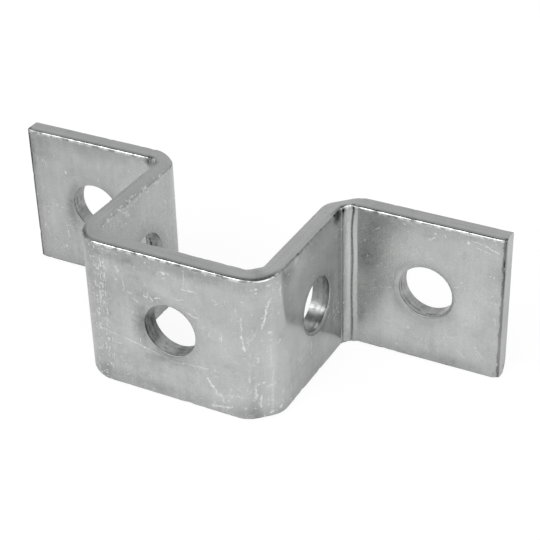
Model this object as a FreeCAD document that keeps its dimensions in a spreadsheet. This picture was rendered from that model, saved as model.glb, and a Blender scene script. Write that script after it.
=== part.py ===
"""U-shaped strut connector: one flat steel bar, punched and bent four times.

The web in front, the two legs that run back from it and the two flanges that turn outwards are
one bar. A strut stands in the channel between the legs, and bolts go through the five holes.

Axes: X along the bar's two flanges, Y from the web towards the flanges, Z up across the bar's
width. The origin is at the middle of the connector's length and depth, on the plane that it
stands on. The upper right quarter of the bar is made first, and mirrored down and to the left.
"""
import FreeCAD, Part
import math
import os

import Sketcher

Vector = FreeCAD.Vector
doc = FreeCAD.newDocument("strut_connector")

# Driving dimensions, in millimetres and degrees
SIZES = [
    ("bar_width", 40.0, "flat bar, across the holes"),
    ("bar_thickness", 5.0, "flat bar"),
    ("bar_edge_radius", 0.5, "rolled corners of the flat bar's section"),
    ("channel_width", 43.5, "clear width between the legs, for a 41.3 strut"),
    ("channel_depth", 41.5, "from the web's inner face to the plane of the flanges' backs"),
    ("bend_radius", 3.2, "inside radius of all four bends"),
    ("bend_swell", 0.3, "how far each long edge swells out on the inside of a bend"),
    ("bend_draw", 0.55, "how far each long edge draws in on the outside of a bend"),
    ("hole_diameter", 14.0, "all five holes, below their rolled rims"),
    ("leg_hole_depth", 20.65, "from the web's inner face to the leg hole's centre"),
    ("flange_hole_offset", 48.0, "from the middle of the web to each flange hole's centre"),
    ("flange_end_margin", 20.0, "from a flange hole's centre to the bar's end"),
    ("punch_roll_width", 1.0, "how far round a hole the punch draws its entry face down"),
    ("punch_roll_drop", 0.3, "how deep the punch draws the rim of a hole down"),
    ("shear_roll_width", 2.0, "how far along the bar the shear blade draws its end down"),
    ("shear_roll_drop", 0.4, "how deep the shear blade draws the end of the bar down"),
]

sheet = doc.addObject("Spreadsheet::Sheet", "Sizes")
size = {}
for row, (alias, value, note) in enumerate(SIZES, start=1):
    sheet.set(f"A{row}", alias)
    sheet.set(f"B{row}", str(value))
    sheet.set(f"C{row}", note)
    sheet.setAlias(f"B{row}", alias)
    size[alias] = value
doc.recompute()

# Places that follow from the sheet, as expressions
MID_HEIGHT = "(Sizes.bar_width / 2 + Sizes.bend_swell)"
HALF_DEPTH = "((Sizes.channel_depth + Sizes.bar_thickness) / 2)"
WEB_INNER_Y = f"(Sizes.bar_thickness - {HALF_DEPTH})"
FLANGE_FRONT_Y = f"({HALF_DEPTH} - Sizes.bar_thickness)"
LEG_INNER_X = "(Sizes.channel_width / 2)"
LEG_OUTER_X = f"({LEG_INNER_X} + Sizes.bar_thickness)"
BAR_END_X = "(Sizes.flange_hole_offset + Sizes.flange_end_margin)"
HOLE_RADIUS = "(Sizes.hole_diameter / 2)"

# Each bend's centre, and the angle round it at which its metal starts, counter-clockwise
BEND_ANGLE = 90
WEB_BEND = (f"({LEG_INNER_X} - Sizes.bend_radius)", f"({WEB_INNER_Y} + Sizes.bend_radius)", -BEND_ANGLE)
FLANGE_BEND = (f"({LEG_OUTER_X} + Sizes.bend_radius)", f"({FLANGE_FRONT_Y} - Sizes.bend_radius)", BEND_ANGLE)
BEND_STATIONS = 7

# How far a cutting profile reaches past the metal, and past it inside a bend
PAST_METAL = "(Sizes.bar_thickness / 2)"
PAST_BEND = "(Sizes.bend_radius / 2)"
# A drawn-down edge leaves the flat face at this slight angle, in degrees
ROLL_MEETS_FACE = 4

body = doc.addObject("PartDesign::Body", "strut_connector")
body.Label = "strut_connector"
PLANES = {plane.Role: plane for plane in body.Origin.OriginFeatures}


def value_of(expression):
    """Work out an expression on the sheet, for a sketch's first guess of its geometry."""
    return float(sheet.evalExpression(expression))


def new_sketch(name, plane, place, turn_axis=Vector(0, 0, 1), turn=0):
    """Make a sketch on an origin plane, shifted by three expressions and turned about an axis."""
    sketch = body.newObject("Sketcher::SketchObject", name)
    sketch.AttachmentSupport = (PLANES[plane], [""])
    sketch.MapMode = "FlatFace"
    sketch.AttachmentOffset = FreeCAD.Placement(Vector(), FreeCAD.Rotation(turn_axis, turn))
    for axis, expression in zip("xyz", place):
        sketch.setExpression(f".AttachmentOffset.Base.{axis}", expression)
    return sketch


def dimension(sketch, name, expression, kind, *where):
    """Add a driving constraint whose size is an expression on the sheet."""
    guess = value_of(expression)
    index = sketch.addConstraint(Sketcher.Constraint(kind, *where, guess))
    sketch.renameConstraint(index, name)
    sketch.setExpression(f".Constraints.{name}", expression)


def section_sketch(name, bend, angle):
    """Make a sketch across the bar, at an angle round a bend.

    Its x runs out from the bend's centre, and its y runs up from the middle of the bar's width.
    """
    centre_x, centre_y, _ = bend
    return new_sketch(name, "XZ_Plane", (centre_x, MID_HEIGHT, f"-{centre_y}"), Vector(0, 1, 0), angle)


def quadrangle(sketch, left, right, left_bottom, left_top, right_bottom, right_top):
    """Draw four sides, two of them upright, from the expressions of their places and ends."""
    u0, u1, a0, a1, b0, b1 = (value_of(e) for e in
                              (left, right, left_bottom, left_top, right_bottom, right_top))
    corners = [Vector(u0, a0, 0), Vector(u1, b0, 0), Vector(u1, b1, 0), Vector(u0, a1, 0)]
    for i in range(4):
        sketch.addGeometry(Part.LineSegment(corners[i], corners[(i + 1) % 4]), False)
    for i in range(4):
        sketch.addConstraint(Sketcher.Constraint("Coincident", i, 2, (i + 1) % 4, 1))
    sketch.addConstraint(Sketcher.Constraint("Vertical", 1))
    sketch.addConstraint(Sketcher.Constraint("Vertical", 3))
    dimension(sketch, "left", left, "DistanceX", -1, 1, 0, 1)
    dimension(sketch, "right", right, "DistanceX", -1, 1, 0, 2)
    for name, expression, line, end in (("left_bottom", left_bottom, 0, 1), ("left_top", left_top, 2, 2),
                                        ("right_bottom", right_bottom, 1, 1), ("right_top", right_top, 1, 2)):
        if expression == "0":
            sketch.addConstraint(Sketcher.Constraint("PointOnObject", line, end, -1))
        else:
            dimension(sketch, name, expression, "DistanceY", -1, 1, line, end)


def bar_section(name, bend, angle, height):
    """Sketch the upper half of the bar's section, up to a height above the middle of its width."""
    sketch = section_sketch(name, bend, angle)
    quadrangle(sketch, "Sizes.bend_radius", "(Sizes.bend_radius + Sizes.bar_thickness)",
               "0", height, "0", height)
    return sketch


def run(name, bend, angle, length, backwards=False):
    """Add a straight run of the bar, from one end of a bend."""
    pad = body.newObject("PartDesign::Pad", name)
    pad.Profile = (bar_section(f"{name}_section", bend, angle, "(Sizes.bar_width / 2)"), [""])
    pad.setExpression("Length", length)
    pad.Reversed = backwards
    return pad


def bend_blank(name, bend):
    """Add a bend with plain round faces, taller than the bar by more than its edges swell."""
    height = f"(Sizes.bar_width / 2 + Sizes.bend_swell + {PAST_METAL})"
    revolution = body.newObject("PartDesign::Revolution", name)
    sketch = bar_section(f"{name}_section", bend, bend[2], height)
    revolution.Profile = (sketch, [""])
    revolution.ReferenceAxis = (sketch, ["V_Axis"])
    revolution.Angle = BEND_ANGLE
    return revolution


def bend_edge(name, bend):
    """Trim a bend's top to the form that bending gives it: swollen inside, drawn in outside.

    Squared sine of the way through the bend gives how much of the swell and draw shows there:
    none where the bend starts and ends, and all of it in the middle.
    """
    sections = []
    for i in range(BEND_STATIONS):
        angle = bend[2] + BEND_ANGLE * i / (BEND_STATIONS - 1)
        share = f"{math.sin(math.pi * i / (BEND_STATIONS - 1)) ** 2:.4f}"
        slope = (f"({share} * (Sizes.bend_swell + Sizes.bend_draw)"
                 " / (Sizes.bar_thickness - 2 * Sizes.bar_edge_radius))")
        # The rounded corners stand lower than the slope's own line, by this much at their tops
        corner = f"Sizes.bar_edge_radius * (sqrt(1 + {slope} * {slope}) - 1)"
        reach = f"{slope} * (Sizes.bar_edge_radius + {PAST_BEND})"
        inner = f"(Sizes.bar_width / 2 + {share} * Sizes.bend_swell + {corner} + {reach})"
        outer = f"(Sizes.bar_width / 2 - {share} * Sizes.bend_draw + {corner} - {reach})"
        above = f"(Sizes.bar_width / 2 + Sizes.bend_swell + 2 * {PAST_METAL})"
        sketch = section_sketch(f"{name}_section_{i}", bend, angle)
        quadrangle(sketch, f"(Sizes.bend_radius - {PAST_BEND})",
                   f"(Sizes.bend_radius + Sizes.bar_thickness + {PAST_BEND})", inner, above, outer, above)
        sections.append(sketch)
    cut = body.newObject("PartDesign::SubtractiveLoft", name)
    cut.Profile = (sections[0], [""])
    cut.Sections = [(section, [""]) for section in sections[1:]]
    return cut


def mirror(name, plane):
    """Add the body's mirror image."""
    copy = body.newObject("PartDesign::Mirrored", name)
    copy.TransformMode = "Whole shape"
    copy.MirrorPlane = plane
    return copy


def is_long_edge(edge, shape):
    """Say whether an edge is one of the bar's own four, which run along it and round its bends.

    On one side of such an edge is the bar's narrow face, which looks up or down, and on the
    other one of its wide faces. The bar's ends, which are cut later, aren't wide faces.
    """
    middle = edge.valueAt((edge.FirstParameter + edge.LastParameter) / 2)
    if abs(abs(middle.x) - value_of(BAR_END_X)) < size["bar_edge_radius"]:
        return False
    faces = shape.ancestorsOfType(edge, Part.Face)
    upright = [abs(face.normalAt(*face.Surface.parameter(middle)).z) for face in faces]
    return len(faces) == 2 and min(upright) < 0.1 and max(upright) > 0.8


def round_long_edges(name, base):
    """Round the four long edges of the bar, as they are on rolled flat bar."""
    edges = [f"Edge{i}" for i, edge in enumerate(base.Shape.Edges, start=1) if is_long_edge(edge, base.Shape)]
    fillet = body.newObject("PartDesign::Fillet", name)
    fillet.Base = (base, edges)
    fillet.setExpression("Radius", "Sizes.bar_edge_radius")
    return fillet


def rolled_edge(sketch, wall_u, width, drop, side):
    """Draw the arc in which a cut draws the face down, from the face to the cut's wall.

    The wall stands at wall_u, the face is y = 0 and the metal lies at y > 0, on the given side of
    the wall (1 for larger x, -1 for smaller x). Returns the arc's index and the sketch's points
    (arc, end) on the face and on the wall.
    """
    w, d = value_of(width), value_of(drop)
    meets = math.radians(ROLL_MEETS_FACE)
    half_turn = math.atan2(d, w) - meets
    radius = math.hypot(w, d) / (2 * math.sin(half_turn))
    centre = Vector(value_of(wall_u) + side * (w + radius * math.sin(meets)), radius * math.cos(meets), 0)
    turns = sorted(-math.pi / 2 - side * angle for angle in (meets, meets + 2 * half_turn))
    circle = Part.Circle(centre, Vector(0, 0, 1), radius)
    arc = sketch.addGeometry(Part.ArcOfCircle(circle, *turns), False)
    on_face, on_wall = (2, 1) if side > 0 else (1, 2)
    sketch.addConstraint(Sketcher.Constraint("PointOnObject", arc, on_face, -1))
    roll = sketch.addConstraint(Sketcher.Constraint("Radius", arc, radius))
    sketch.renameConstraint(roll, "roll_radius")
    dimension(sketch, "roll_drop", drop, "DistanceY", -1, 1, arc, on_wall)
    dimension(sketch, "roll_width", width, "DistanceX",
              *((arc, on_wall, arc, on_face) if side > 0 else (arc, on_face, arc, on_wall)))
    return arc, on_face, on_wall


def close_outline(sketch, arc, arc_start, arc_end, corners):
    """Join the arc's end back to its start by straight sides through the corners."""
    points = [Vector(u, v, 0) for u, v in corners]
    first = sketch.GeometryCount
    for a, b in zip(points, points[1:]):
        sketch.addGeometry(Part.LineSegment(a, b), False)
    last = sketch.GeometryCount - 1
    for side in range(first, last):
        sketch.addConstraint(Sketcher.Constraint("Coincident", side, 2, side + 1, 1))
    sketch.addConstraint(Sketcher.Constraint("Coincident", arc, arc_end, first, 1))
    sketch.addConstraint(Sketcher.Constraint("Coincident", last, 2, arc, arc_start))
    for side in range(first, last + 1):
        a, b = points[side - first], points[side - first + 1]
        if a.x == b.x:
            sketch.addConstraint(Sketcher.Constraint("Vertical", side))
        elif a.y == b.y:
            sketch.addConstraint(Sketcher.Constraint("Horizontal", side))
    return first


def punched_hole(name, x, y, turn):
    """Cut a hole from the face that the punch entered, at x and y and half the bar's width.

    The turn swings the sketch's y axis to point into the metal. From that face the rim rolls
    down, and then the hole is straight.
    """
    sketch = new_sketch(f"{name}_profile", "XY_Plane", (x, y, MID_HEIGHT), turn=turn)
    r, past, thick, width, drop = (value_of(e) for e in (
        HOLE_RADIUS, PAST_METAL, "Sizes.bar_thickness", "Sizes.punch_roll_width", "Sizes.punch_roll_drop"))
    arc, on_face, on_wall = rolled_edge(sketch, HOLE_RADIUS, "Sizes.punch_roll_width",
                                        "Sizes.punch_roll_drop", 1)
    corners = [(r, drop), (r, thick + past), (0, thick + past), (0, -past), (r + width, -past), (r + width, 0)]
    wall = close_outline(sketch, arc, on_face, on_wall, corners)
    axis_side = wall + 2
    sketch.addConstraint(Sketcher.Constraint("PointOnObject", axis_side, 1, -2))
    dimension(sketch, "radius", HOLE_RADIUS, "DistanceX", -1, 1, wall, 1)
    dimension(sketch, "after", f"(Sizes.bar_thickness + {PAST_METAL})", "DistanceY", -1, 1, wall, 2)
    dimension(sketch, "before", PAST_METAL, "DistanceY", axis_side, 2, -1, 1)
    cut = body.newObject("PartDesign::Groove", name)
    cut.Profile = (sketch, [""])
    cut.ReferenceAxis = (sketch, ["V_Axis"])
    cut.Angle = 360
    return cut


def sheared_end(name, side):
    """Draw the front edge of the bar's end down, as the shear blade does, right (1) or left (-1)."""
    sketch = new_sketch(f"{name}_profile", "XY_Plane", (f"{side} * {BAR_END_X}", FLANGE_FRONT_Y, MID_HEIGHT))
    width, drop, past = (value_of(e) for e in ("Sizes.shear_roll_width", "Sizes.shear_roll_drop", PAST_METAL))
    arc, on_face, on_wall = rolled_edge(sketch, "0", "Sizes.shear_roll_width", "Sizes.shear_roll_drop", -side)
    corners = [(0, drop), (side * past, drop), (side * past, -past), (-side * width, -past), (-side * width, 0)]
    first = close_outline(sketch, arc, on_face, on_wall, corners)
    sketch.addConstraint(Sketcher.Constraint("PointOnObject", first, 1, -2))
    dimension(sketch, "past_end", f"{side} * {PAST_METAL}", "DistanceX", first, 1, first, 2)
    dimension(sketch, "past_face", PAST_METAL, "DistanceY", first + 2, 2, -1, 1)
    cut = body.newObject("PartDesign::Pocket", name)
    cut.Profile = (sketch, [""])
    cut.Type = "ThroughAll"
    cut.SideType = "Symmetric"
    return cut


def volume_after(feature, sign):
    """Recompute, and make sure that a feature added (1) or took away (-1) metal."""
    before = 0 if body.Shape.isNull() else body.Shape.Volume
    body.Tip = feature
    doc.recompute()
    change = sign * (feature.Shape.Volume - before)
    if not change > 0:
        raise RuntimeError(f"{feature.Name} changed the volume by {change:.3f}")
    print(f"{feature.Name:18} {feature.Shape.Volume:10.2f} mm3")
    return feature


# The upper right quarter of the bar, from the middle of the web outwards
volume_after(run("web", WEB_BEND, WEB_BEND[2], WEB_BEND[0]), 1)
volume_after(bend_blank("web_bend", WEB_BEND), 1)
leg_length = f"({FLANGE_BEND[1]} - {WEB_BEND[1]})"
volume_after(run("leg", WEB_BEND, WEB_BEND[2] + BEND_ANGLE, leg_length, True), 1)
volume_after(bend_blank("flange_bend", FLANGE_BEND), 1)
volume_after(run("flange", FLANGE_BEND, FLANGE_BEND[2], f"({BAR_END_X} - {FLANGE_BEND[0]})"), 1)
volume_after(bend_edge("web_bend_edge", WEB_BEND), -1)
volume_after(bend_edge("flange_bend_edge", FLANGE_BEND), -1)

# The rest of the bar, with its rolled edges
web_section = doc.getObject("web_section")
volume_after(mirror("lower_half", (web_section, ["H_Axis"])), 1)
whole_bar = volume_after(mirror("left_half", (PLANES["YZ_Plane"], [""])), 1)
volume_after(round_long_edges("rolled_edges", whole_bar), -1)

# The cuts. The shear and the punch entered the flanges and the web from the front, and the punch
# entered the legs from outside, which is a quarter turn from there.
INTO_LEG_ANGLE = 90
for side_name, side in (("right", 1), ("left", -1)):
    volume_after(sheared_end(f"{side_name}_end", side), -1)
    volume_after(punched_hole(f"{side_name}_flange_hole", f"{side} * Sizes.flange_hole_offset",
                              FLANGE_FRONT_Y, 0), -1)
    volume_after(punched_hole(f"{side_name}_leg_hole", f"{side} * {LEG_OUTER_X}",
                              f"{WEB_INNER_Y} + Sizes.leg_hole_depth", side * INTO_LEG_ANGLE), -1)
volume_after(punched_hole("web_hole", "0", f"-{HALF_DEPTH}", 0), -1)

for item in doc.Objects:
    if "Invalid" in item.State or "Error" in item.State:
        raise RuntimeError(f"{item.Name} is {item.State}")
shape = body.Shape
if shape.isNull() or not shape.isValid() or len(shape.Solids) != 1:
    raise RuntimeError(f"{body.Label} is not one valid solid")
os.makedirs("parts", exist_ok=True)
shape.exportStep(f"parts/{body.Label}.step")
box = shape.optimalBoundingBox()
print(f"{body.Label}: {len(shape.Faces)} faces, {shape.Volume:.1f} mm3, "
      f"X {box.XMin:.3f} {box.XMax:.3f}, Y {box.YMin:.3f} {box.YMax:.3f}, Z {box.ZMin:.3f} {box.ZMax:.3f}")
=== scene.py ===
# %% [markdown]
# # A bent steel strut connector, zinc plated
#
# The object is one flat steel bar. It was punched five times, sheared to length, bent four times
# and plated with zinc. The CAD solid gives its true form. This lesson lays a finer skin over it,
# because on bright metal the small things show: the punch's soft rims, the drawn ends, the press
# tool's marks beside a bend, the nicks along an edge.

import math
import random
from functools import partialmethod

import bmesh
import bpy
import numpy as np
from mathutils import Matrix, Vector, noise
from mathutils.bvhtree import BVHTree


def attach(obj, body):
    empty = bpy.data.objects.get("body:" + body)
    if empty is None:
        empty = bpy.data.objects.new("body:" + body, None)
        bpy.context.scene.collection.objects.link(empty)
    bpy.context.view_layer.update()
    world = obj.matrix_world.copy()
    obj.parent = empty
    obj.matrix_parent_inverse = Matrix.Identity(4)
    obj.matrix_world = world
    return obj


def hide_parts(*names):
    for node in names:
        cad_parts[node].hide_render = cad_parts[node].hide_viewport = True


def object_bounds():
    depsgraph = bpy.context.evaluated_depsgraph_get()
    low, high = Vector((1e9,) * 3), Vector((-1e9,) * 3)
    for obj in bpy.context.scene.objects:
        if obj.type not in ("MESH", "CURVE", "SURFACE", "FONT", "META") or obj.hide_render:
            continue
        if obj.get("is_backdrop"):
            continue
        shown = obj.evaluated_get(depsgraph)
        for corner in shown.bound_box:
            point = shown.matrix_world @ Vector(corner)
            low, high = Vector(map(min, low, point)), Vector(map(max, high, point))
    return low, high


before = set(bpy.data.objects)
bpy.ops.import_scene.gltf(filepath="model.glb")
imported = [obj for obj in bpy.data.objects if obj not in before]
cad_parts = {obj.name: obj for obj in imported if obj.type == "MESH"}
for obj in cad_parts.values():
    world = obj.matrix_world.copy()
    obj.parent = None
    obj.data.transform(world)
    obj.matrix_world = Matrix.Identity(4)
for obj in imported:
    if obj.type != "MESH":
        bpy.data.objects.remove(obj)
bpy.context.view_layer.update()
cad_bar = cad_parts["strut_connector"]

# %% [markdown]
# ## The bar before it was bent
#
# Every place on the bar has three numbers in millimetres: how far it is along the bar from the
# middle of the web, how far across it from the middle of its width, and how deep under the front
# face, which the punch entered. Holes, rims and scratches are easier to make on a flat bar, as the
# workshop does, and bend afterwards.

# %% The bar's sizes, in millimetres
MM = 0.001
WIDTH, THICKNESS, CORNER = 40.0, 5.0, 0.5
CHANNEL_WIDTH, CHANNEL_DEPTH = 43.5, 41.5
BEND_RADIUS, SWELL, DRAW = 3.2, 0.3, 0.55
HOLE_RADIUS, RIM_WIDTH, RIM_DROP = 7.0, 1.0, 0.3
END_WIDTH, END_DROP = 2.0, 0.4
LEG_HOLE_DEPTH, FLANGE_HOLE_X, FLANGE_END_X = 20.65, 48.0, 68.0
CORE = WIDTH / 2 - CORNER

MIDDLE_Z = WIDTH / 2 + SWELL
FRONT_Y = -(CHANNEL_DEPTH + THICKNESS) / 2
FLANGE_Y = -FRONT_Y - THICKNESS
LEG_X = CHANNEL_WIDTH / 2 + THICKNESS
WEB_END = CHANNEL_WIDTH / 2 - BEND_RADIUS
WEB_BEND_Y = FRONT_Y + THICKNESS + BEND_RADIUS
FLANGE_BEND_X, FLANGE_BEND_Y = LEG_X + BEND_RADIUS, FLANGE_Y - BEND_RADIUS

BEND_LENGTH = math.pi / 2 * (BEND_RADIUS + THICKNESS / 2)
LEG_START = WEB_END + BEND_LENGTH
LEG_END = LEG_START + FLANGE_BEND_Y - WEB_BEND_Y
LEG_MIDDLE = (LEG_START + LEG_END) / 2
FLANGE_START = LEG_END + BEND_LENGTH
BAR_END = FLANGE_START + FLANGE_END_X - FLANGE_BEND_X
LEG_HOLE = LEG_START + (FRONT_Y + THICKNESS + LEG_HOLE_DEPTH) - WEB_BEND_Y
FLANGE_HOLE = FLANGE_START + FLANGE_HOLE_X - FLANGE_BEND_X
HOLES = [-FLANGE_HOLE, -LEG_HOLE, 0.0, LEG_HOLE, FLANGE_HOLE]
print(f"the flat bar is {2 * BAR_END:.1f} mm long, with holes at {[round(s, 1) for s in HOLES]}")


# %% [markdown]
# ## Bending
#
# A place on a straight run keeps its depth along the run's own direction. In a bend, depth turns
# into a radius: the front face is the outside of the two web bends and the inside of the two
# flange bends. The left half mirrors the right one.

# %% Bend places on the flat bar
def bend(along, across, deep):
    """Turn places on the flat bar, in millimetres, into places on the bent bar, in metres."""
    side, a = np.where(along < 0, -1.0, 1.0), np.abs(along)
    turn_1 = math.pi / 2 * (a - WEB_END) / BEND_LENGTH - math.pi / 2
    turn_2 = math.pi - math.pi / 2 * (a - LEG_END) / BEND_LENGTH
    outer, inner = BEND_RADIUS + THICKNESS - deep, BEND_RADIUS + deep
    runs = [a < WEB_END, a < LEG_START, a < LEG_END, a < FLANGE_START]
    x = np.select(runs, [a, WEB_END + outer * np.cos(turn_1), LEG_X - deep,
                         FLANGE_BEND_X + inner * np.cos(turn_2)], FLANGE_BEND_X + a - FLANGE_START)
    y = np.select(runs, [FRONT_Y + deep, WEB_BEND_Y + outer * np.sin(turn_1),
                         WEB_BEND_Y + a - LEG_START, FLANGE_BEND_Y + inner * np.sin(turn_2)],
                  FLANGE_Y + deep)
    return MM * np.stack([side * x, y, MIDDLE_Z + across], axis=-1)


def bend_share(along):
    """How far into a web bend and a flange bend a place is: 0 at its ends, 1 in its middle."""
    into = [np.clip((np.abs(along) - start) / BEND_LENGTH, 0, 1) for start in (WEB_END, LEG_END)]
    return [np.sin(math.pi * share) ** 2 for share in into]


# %% [markdown]
# ## The drawn edges of a cut
#
# A punch or a shear blade drags the face down before it cuts. Across that soft rim the face
# follows an arc, which leaves the flat at a slight angle and gets steeper towards the cut.

# %% The arc of a drawn-down edge
MEETS_FACE = math.radians(4)


def drawn_depth(distance, width, drop):
    """How far the face is drawn down at a distance from the cut."""
    half_turn = math.atan2(drop, width) - MEETS_FACE
    radius = math.hypot(width, drop) / (2 * math.sin(half_turn))
    reach = np.clip(distance, 0, width) - width - radius * math.sin(MEETS_FACE)
    return np.maximum(radius * math.cos(MEETS_FACE) - np.sqrt(radius ** 2 - reach ** 2), 0)


# %% [markdown]
# ## Lines along and across the bar
#
# The skin is a grid. Its lines are half a millimetre apart along the bar, close enough to shape
# a nick. Each hole sits in a square that is left out of the grid, and rings of faces lead from
# that square to the hole.

# %% Where the grid's lines run
SQUARE = 12.0
END_ROUND = 0.12
STEP_ALONG, STEP_ACROSS, FINE = 0.5, 1.0, 0.25
NEARLY = 1e-6


def spaced(stops, step):
    """Lines through all the stops, with no gap over a step."""
    lines = [stops[0]]
    for a, b in zip(stops, stops[1:]):
        count = max(1, math.ceil((b - a) / step - NEARLY))
        lines += [a + (b - a) * i / count for i in range(1, count + 1)]
    return lines


def both_sides(half):
    """The lines on one side of the middle line, which comes first, and their mirror image."""
    return np.array([-line for line in reversed(half[1:])] + half)


right_half = [0.0]
for stops, step in (
        ([0, SQUARE, WEB_END, LEG_START, LEG_HOLE - SQUARE, LEG_HOLE + SQUARE, LEG_END], STEP_ALONG),
        ([LEG_END, FLANGE_START], FINE),
        ([FLANGE_START, FLANGE_HOLE - SQUARE, FLANGE_HOLE + SQUARE, BAR_END - END_WIDTH], STEP_ALONG),
        ([BAR_END - END_WIDTH, BAR_END - END_ROUND], FINE)):
    right_half += spaced(stops, step)[1:]
ALONG = both_sides(right_half)
ACROSS = both_sides(spaced([0, SQUARE, CORE], STEP_ACROSS)) / CORE

# %% [markdown]
# ## The bar's section
#
# Rolled flat bar has rounded corners. A rounded rectangle is a smaller core, pushed out by the
# corner's radius in every direction. In a bend the metal inside is squeezed, so the edges swell
# out there, and outside it is stretched, so they draw in: the core turns into a slight wedge.

# %% One turn round the bar's section
CORNER_STEPS, EDGE_STEPS = 5, 8


def section(along, inset=0.0):
    """Points round the section at each place along: (places, points, [along, across, deep])."""
    web_share, flange_share = bend_share(along)
    front_deep, back_deep = CORNER, THICKNESS - CORNER
    front = (CORE - DRAW * web_share + SWELL * flange_share)[:, None]
    back = (CORE + SWELL * web_share - DRAW * flange_share)[:, None]
    edge_turn = math.pi / 2 + np.arctan2(back - front, back_deep - front_deep)
    push = CORNER - inset
    steps = np.linspace(0, 1, CORNER_STEPS + 1)[None, 1:-1]
    edge = np.linspace(0, 1, EDGE_STEPS + 1)[None, :]
    near_turn, far_turn = math.pi - (math.pi - edge_turn) * steps, edge_turn * (1 - steps)
    all_wide = np.ones((len(along), len(ACROSS)))
    rows = []
    for sign in (1, -1):
        near = (sign * (front + push * np.sin(near_turn)), front_deep + push * np.cos(near_turn))
        narrow = (sign * (front + (back - front) * edge + push * np.sin(edge_turn)),
                  front_deep + (back_deep - front_deep) * edge + push * np.cos(edge_turn))
        far = (sign * (back + push * np.sin(far_turn)), back_deep + push * np.cos(far_turn))
        if sign > 0:
            rows += [(ACROSS[None, :] * front, (front_deep - push) * all_wide), near, narrow, far,
                     (-ACROSS[None, :] * back, (back_deep + push) * all_wide)]
        else:
            rows += [tuple(part[:, ::-1] for part in row) for row in (far, narrow, near)]
    across, deep = (np.concatenate([row[i] for row in rows], axis=1) for i in (0, 1))
    return np.stack([np.broadcast_to(along[:, None], across.shape), across, deep], axis=-1)


# %% [markdown]
# ## Faces from the grid
#
# The grid joins each section to the next. The first and last few shrink a little, which rounds
# off the sheared ends. A cap closes each end: a grid over the core, with a band round it.

# %% Grid, end caps and left-out squares
class Skin:
    """The places, faces and marks of the bar's skin while it is made."""

    def __init__(self):
        self.places, self.faces, self.count = [], [], 0
        self.marks = {"wall": [], "narrow": [], "edge": [], "cut_end": []}

    def add(self, places, **marks):
        """Add places, all with the same marks, and return their numbers in the same layout."""
        flat = places.reshape(-1, 3)
        self.places.append(flat)
        for name, values in self.marks.items():
            values.append(np.broadcast_to(marks.get(name, 0.0), places.shape[:-1]).reshape(-1))
        numbers = np.arange(self.count, self.count + len(flat)).reshape(places.shape[:-1])
        self.count += len(flat)
        return numbers

    def join(self, first, second, closed=True):
        """Join two rows of points by faces, and skip the ones that would have no area."""
        if closed:
            first, second = np.append(first, first[0]), np.append(second, second[0])
        for a, b, c, d in zip(first, first[1:], second[1:], second):
            corners = list(dict.fromkeys((int(a), int(b), int(c), int(d))))
            if len(corners) > 2:
                self.faces.append(corners)


def end_row(side, turn):
    """The section where the end's rounding has turned by an angle."""
    along = np.array([side * (BAR_END - END_ROUND * (1 - math.sin(turn)))])
    return section(along, END_ROUND * (1 - math.cos(turn)))[0]


skin = Skin()
rows = section(ALONG)
turns = [math.radians(angle) for angle in (30, 60, 90)]
rows = np.concatenate([[end_row(-1, t) for t in reversed(turns)], rows, [end_row(1, t) for t in turns]])
along_lines = rows[:, 0, 0]

# A section's points: a wide face, a corner, a narrow face, a corner, and the same again
wide, corner, narrow = len(ACROSS), CORNER_STEPS - 1, EDGE_STEPS + 1
kinds = np.repeat(["wide", "corner", "narrow", "corner"] * 2, [wide, corner, narrow, corner] * 2)
back_first = wide + corner + narrow + corner
grid = skin.add(rows, narrow=(kinds == "narrow") * 1.0, edge=(kinds == "corner") * 1.0)


def line_at(lines, value):
    """The number of the line that runs at a value."""
    return int(np.argmin(np.abs(lines - value)))


square_low, square_high = (line_at(ACROSS * CORE, across) for across in (-SQUARE, SQUARE))
open_quads = np.zeros(grid.shape, bool)
for hole in HOLES:
    a, b = (line_at(along_lines, hole + d) for d in (-SQUARE, SQUARE))
    for face_first in (0, back_first):
        open_quads[a:b, face_first + square_low:face_first + square_high] = True
for i in range(len(grid) - 1):
    for j in np.flatnonzero(~open_quads[i]):
        k = (j + 1) % grid.shape[1]
        skin.faces.append([int(n) for n in (grid[i, j], grid[i, k], grid[i + 1, k], grid[i + 1, j])])


# %% Close the two ends
def cap(side, row):
    """Close an end by a grid over its core, and return the outline, which repeats the corners."""
    across, edge = row[:wide, 1], row[wide + corner:wide + corner + narrow, 2]
    core = np.stack(np.meshgrid([side * BAR_END], across, edge, indexing="ij"), axis=-1)[0]
    numbers = skin.add(core, cut_end=1.0)
    for first, second in zip(numbers, numbers[1:]):
        skin.join(first, second, closed=False)
    sides = numbers[:, 0], numbers[-1], numbers[::-1, -1], numbers[0, ::-1]
    return np.concatenate([np.append(line, np.repeat(line[-1], corner)) for line in sides])


for side, i in ((-1, 0), (1, len(grid) - 1)):
    skin.join(grid[i], cap(side, rows[i]))

# %% [markdown]
# ## The punched holes
#
# Rings lead from a square on the front face in to the soft rim, down the wall and out to a square
# on the back. The punch shears the first third of the depth clean, and the rest breaks, which
# leaves it rougher. A slight round ends the wall.

# %% Rings through each hole
FACE_RINGS, RIM_RINGS, WALL_RINGS = 7, 5, 12
LIP, LIP_OUT, LIP_DOWN = 0.08, 0.024, 0.008
CROWDING = 1.5


def square_outline(hole, on_back):
    """The grid points round a hole's square, on the front face or on the back."""
    a, b = (line_at(along_lines, hole + d) for d in (-SQUARE, SQUARE))
    low, high, step = square_low, square_high, 1
    if on_back:
        last = back_first + wide - 1
        low, high, step = last - low, last - high, -1
    return np.concatenate([grid[a:b, low], grid[b, low:high:step], grid[b:a:-1, high],
                           grid[a, high:low:-step]])


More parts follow.
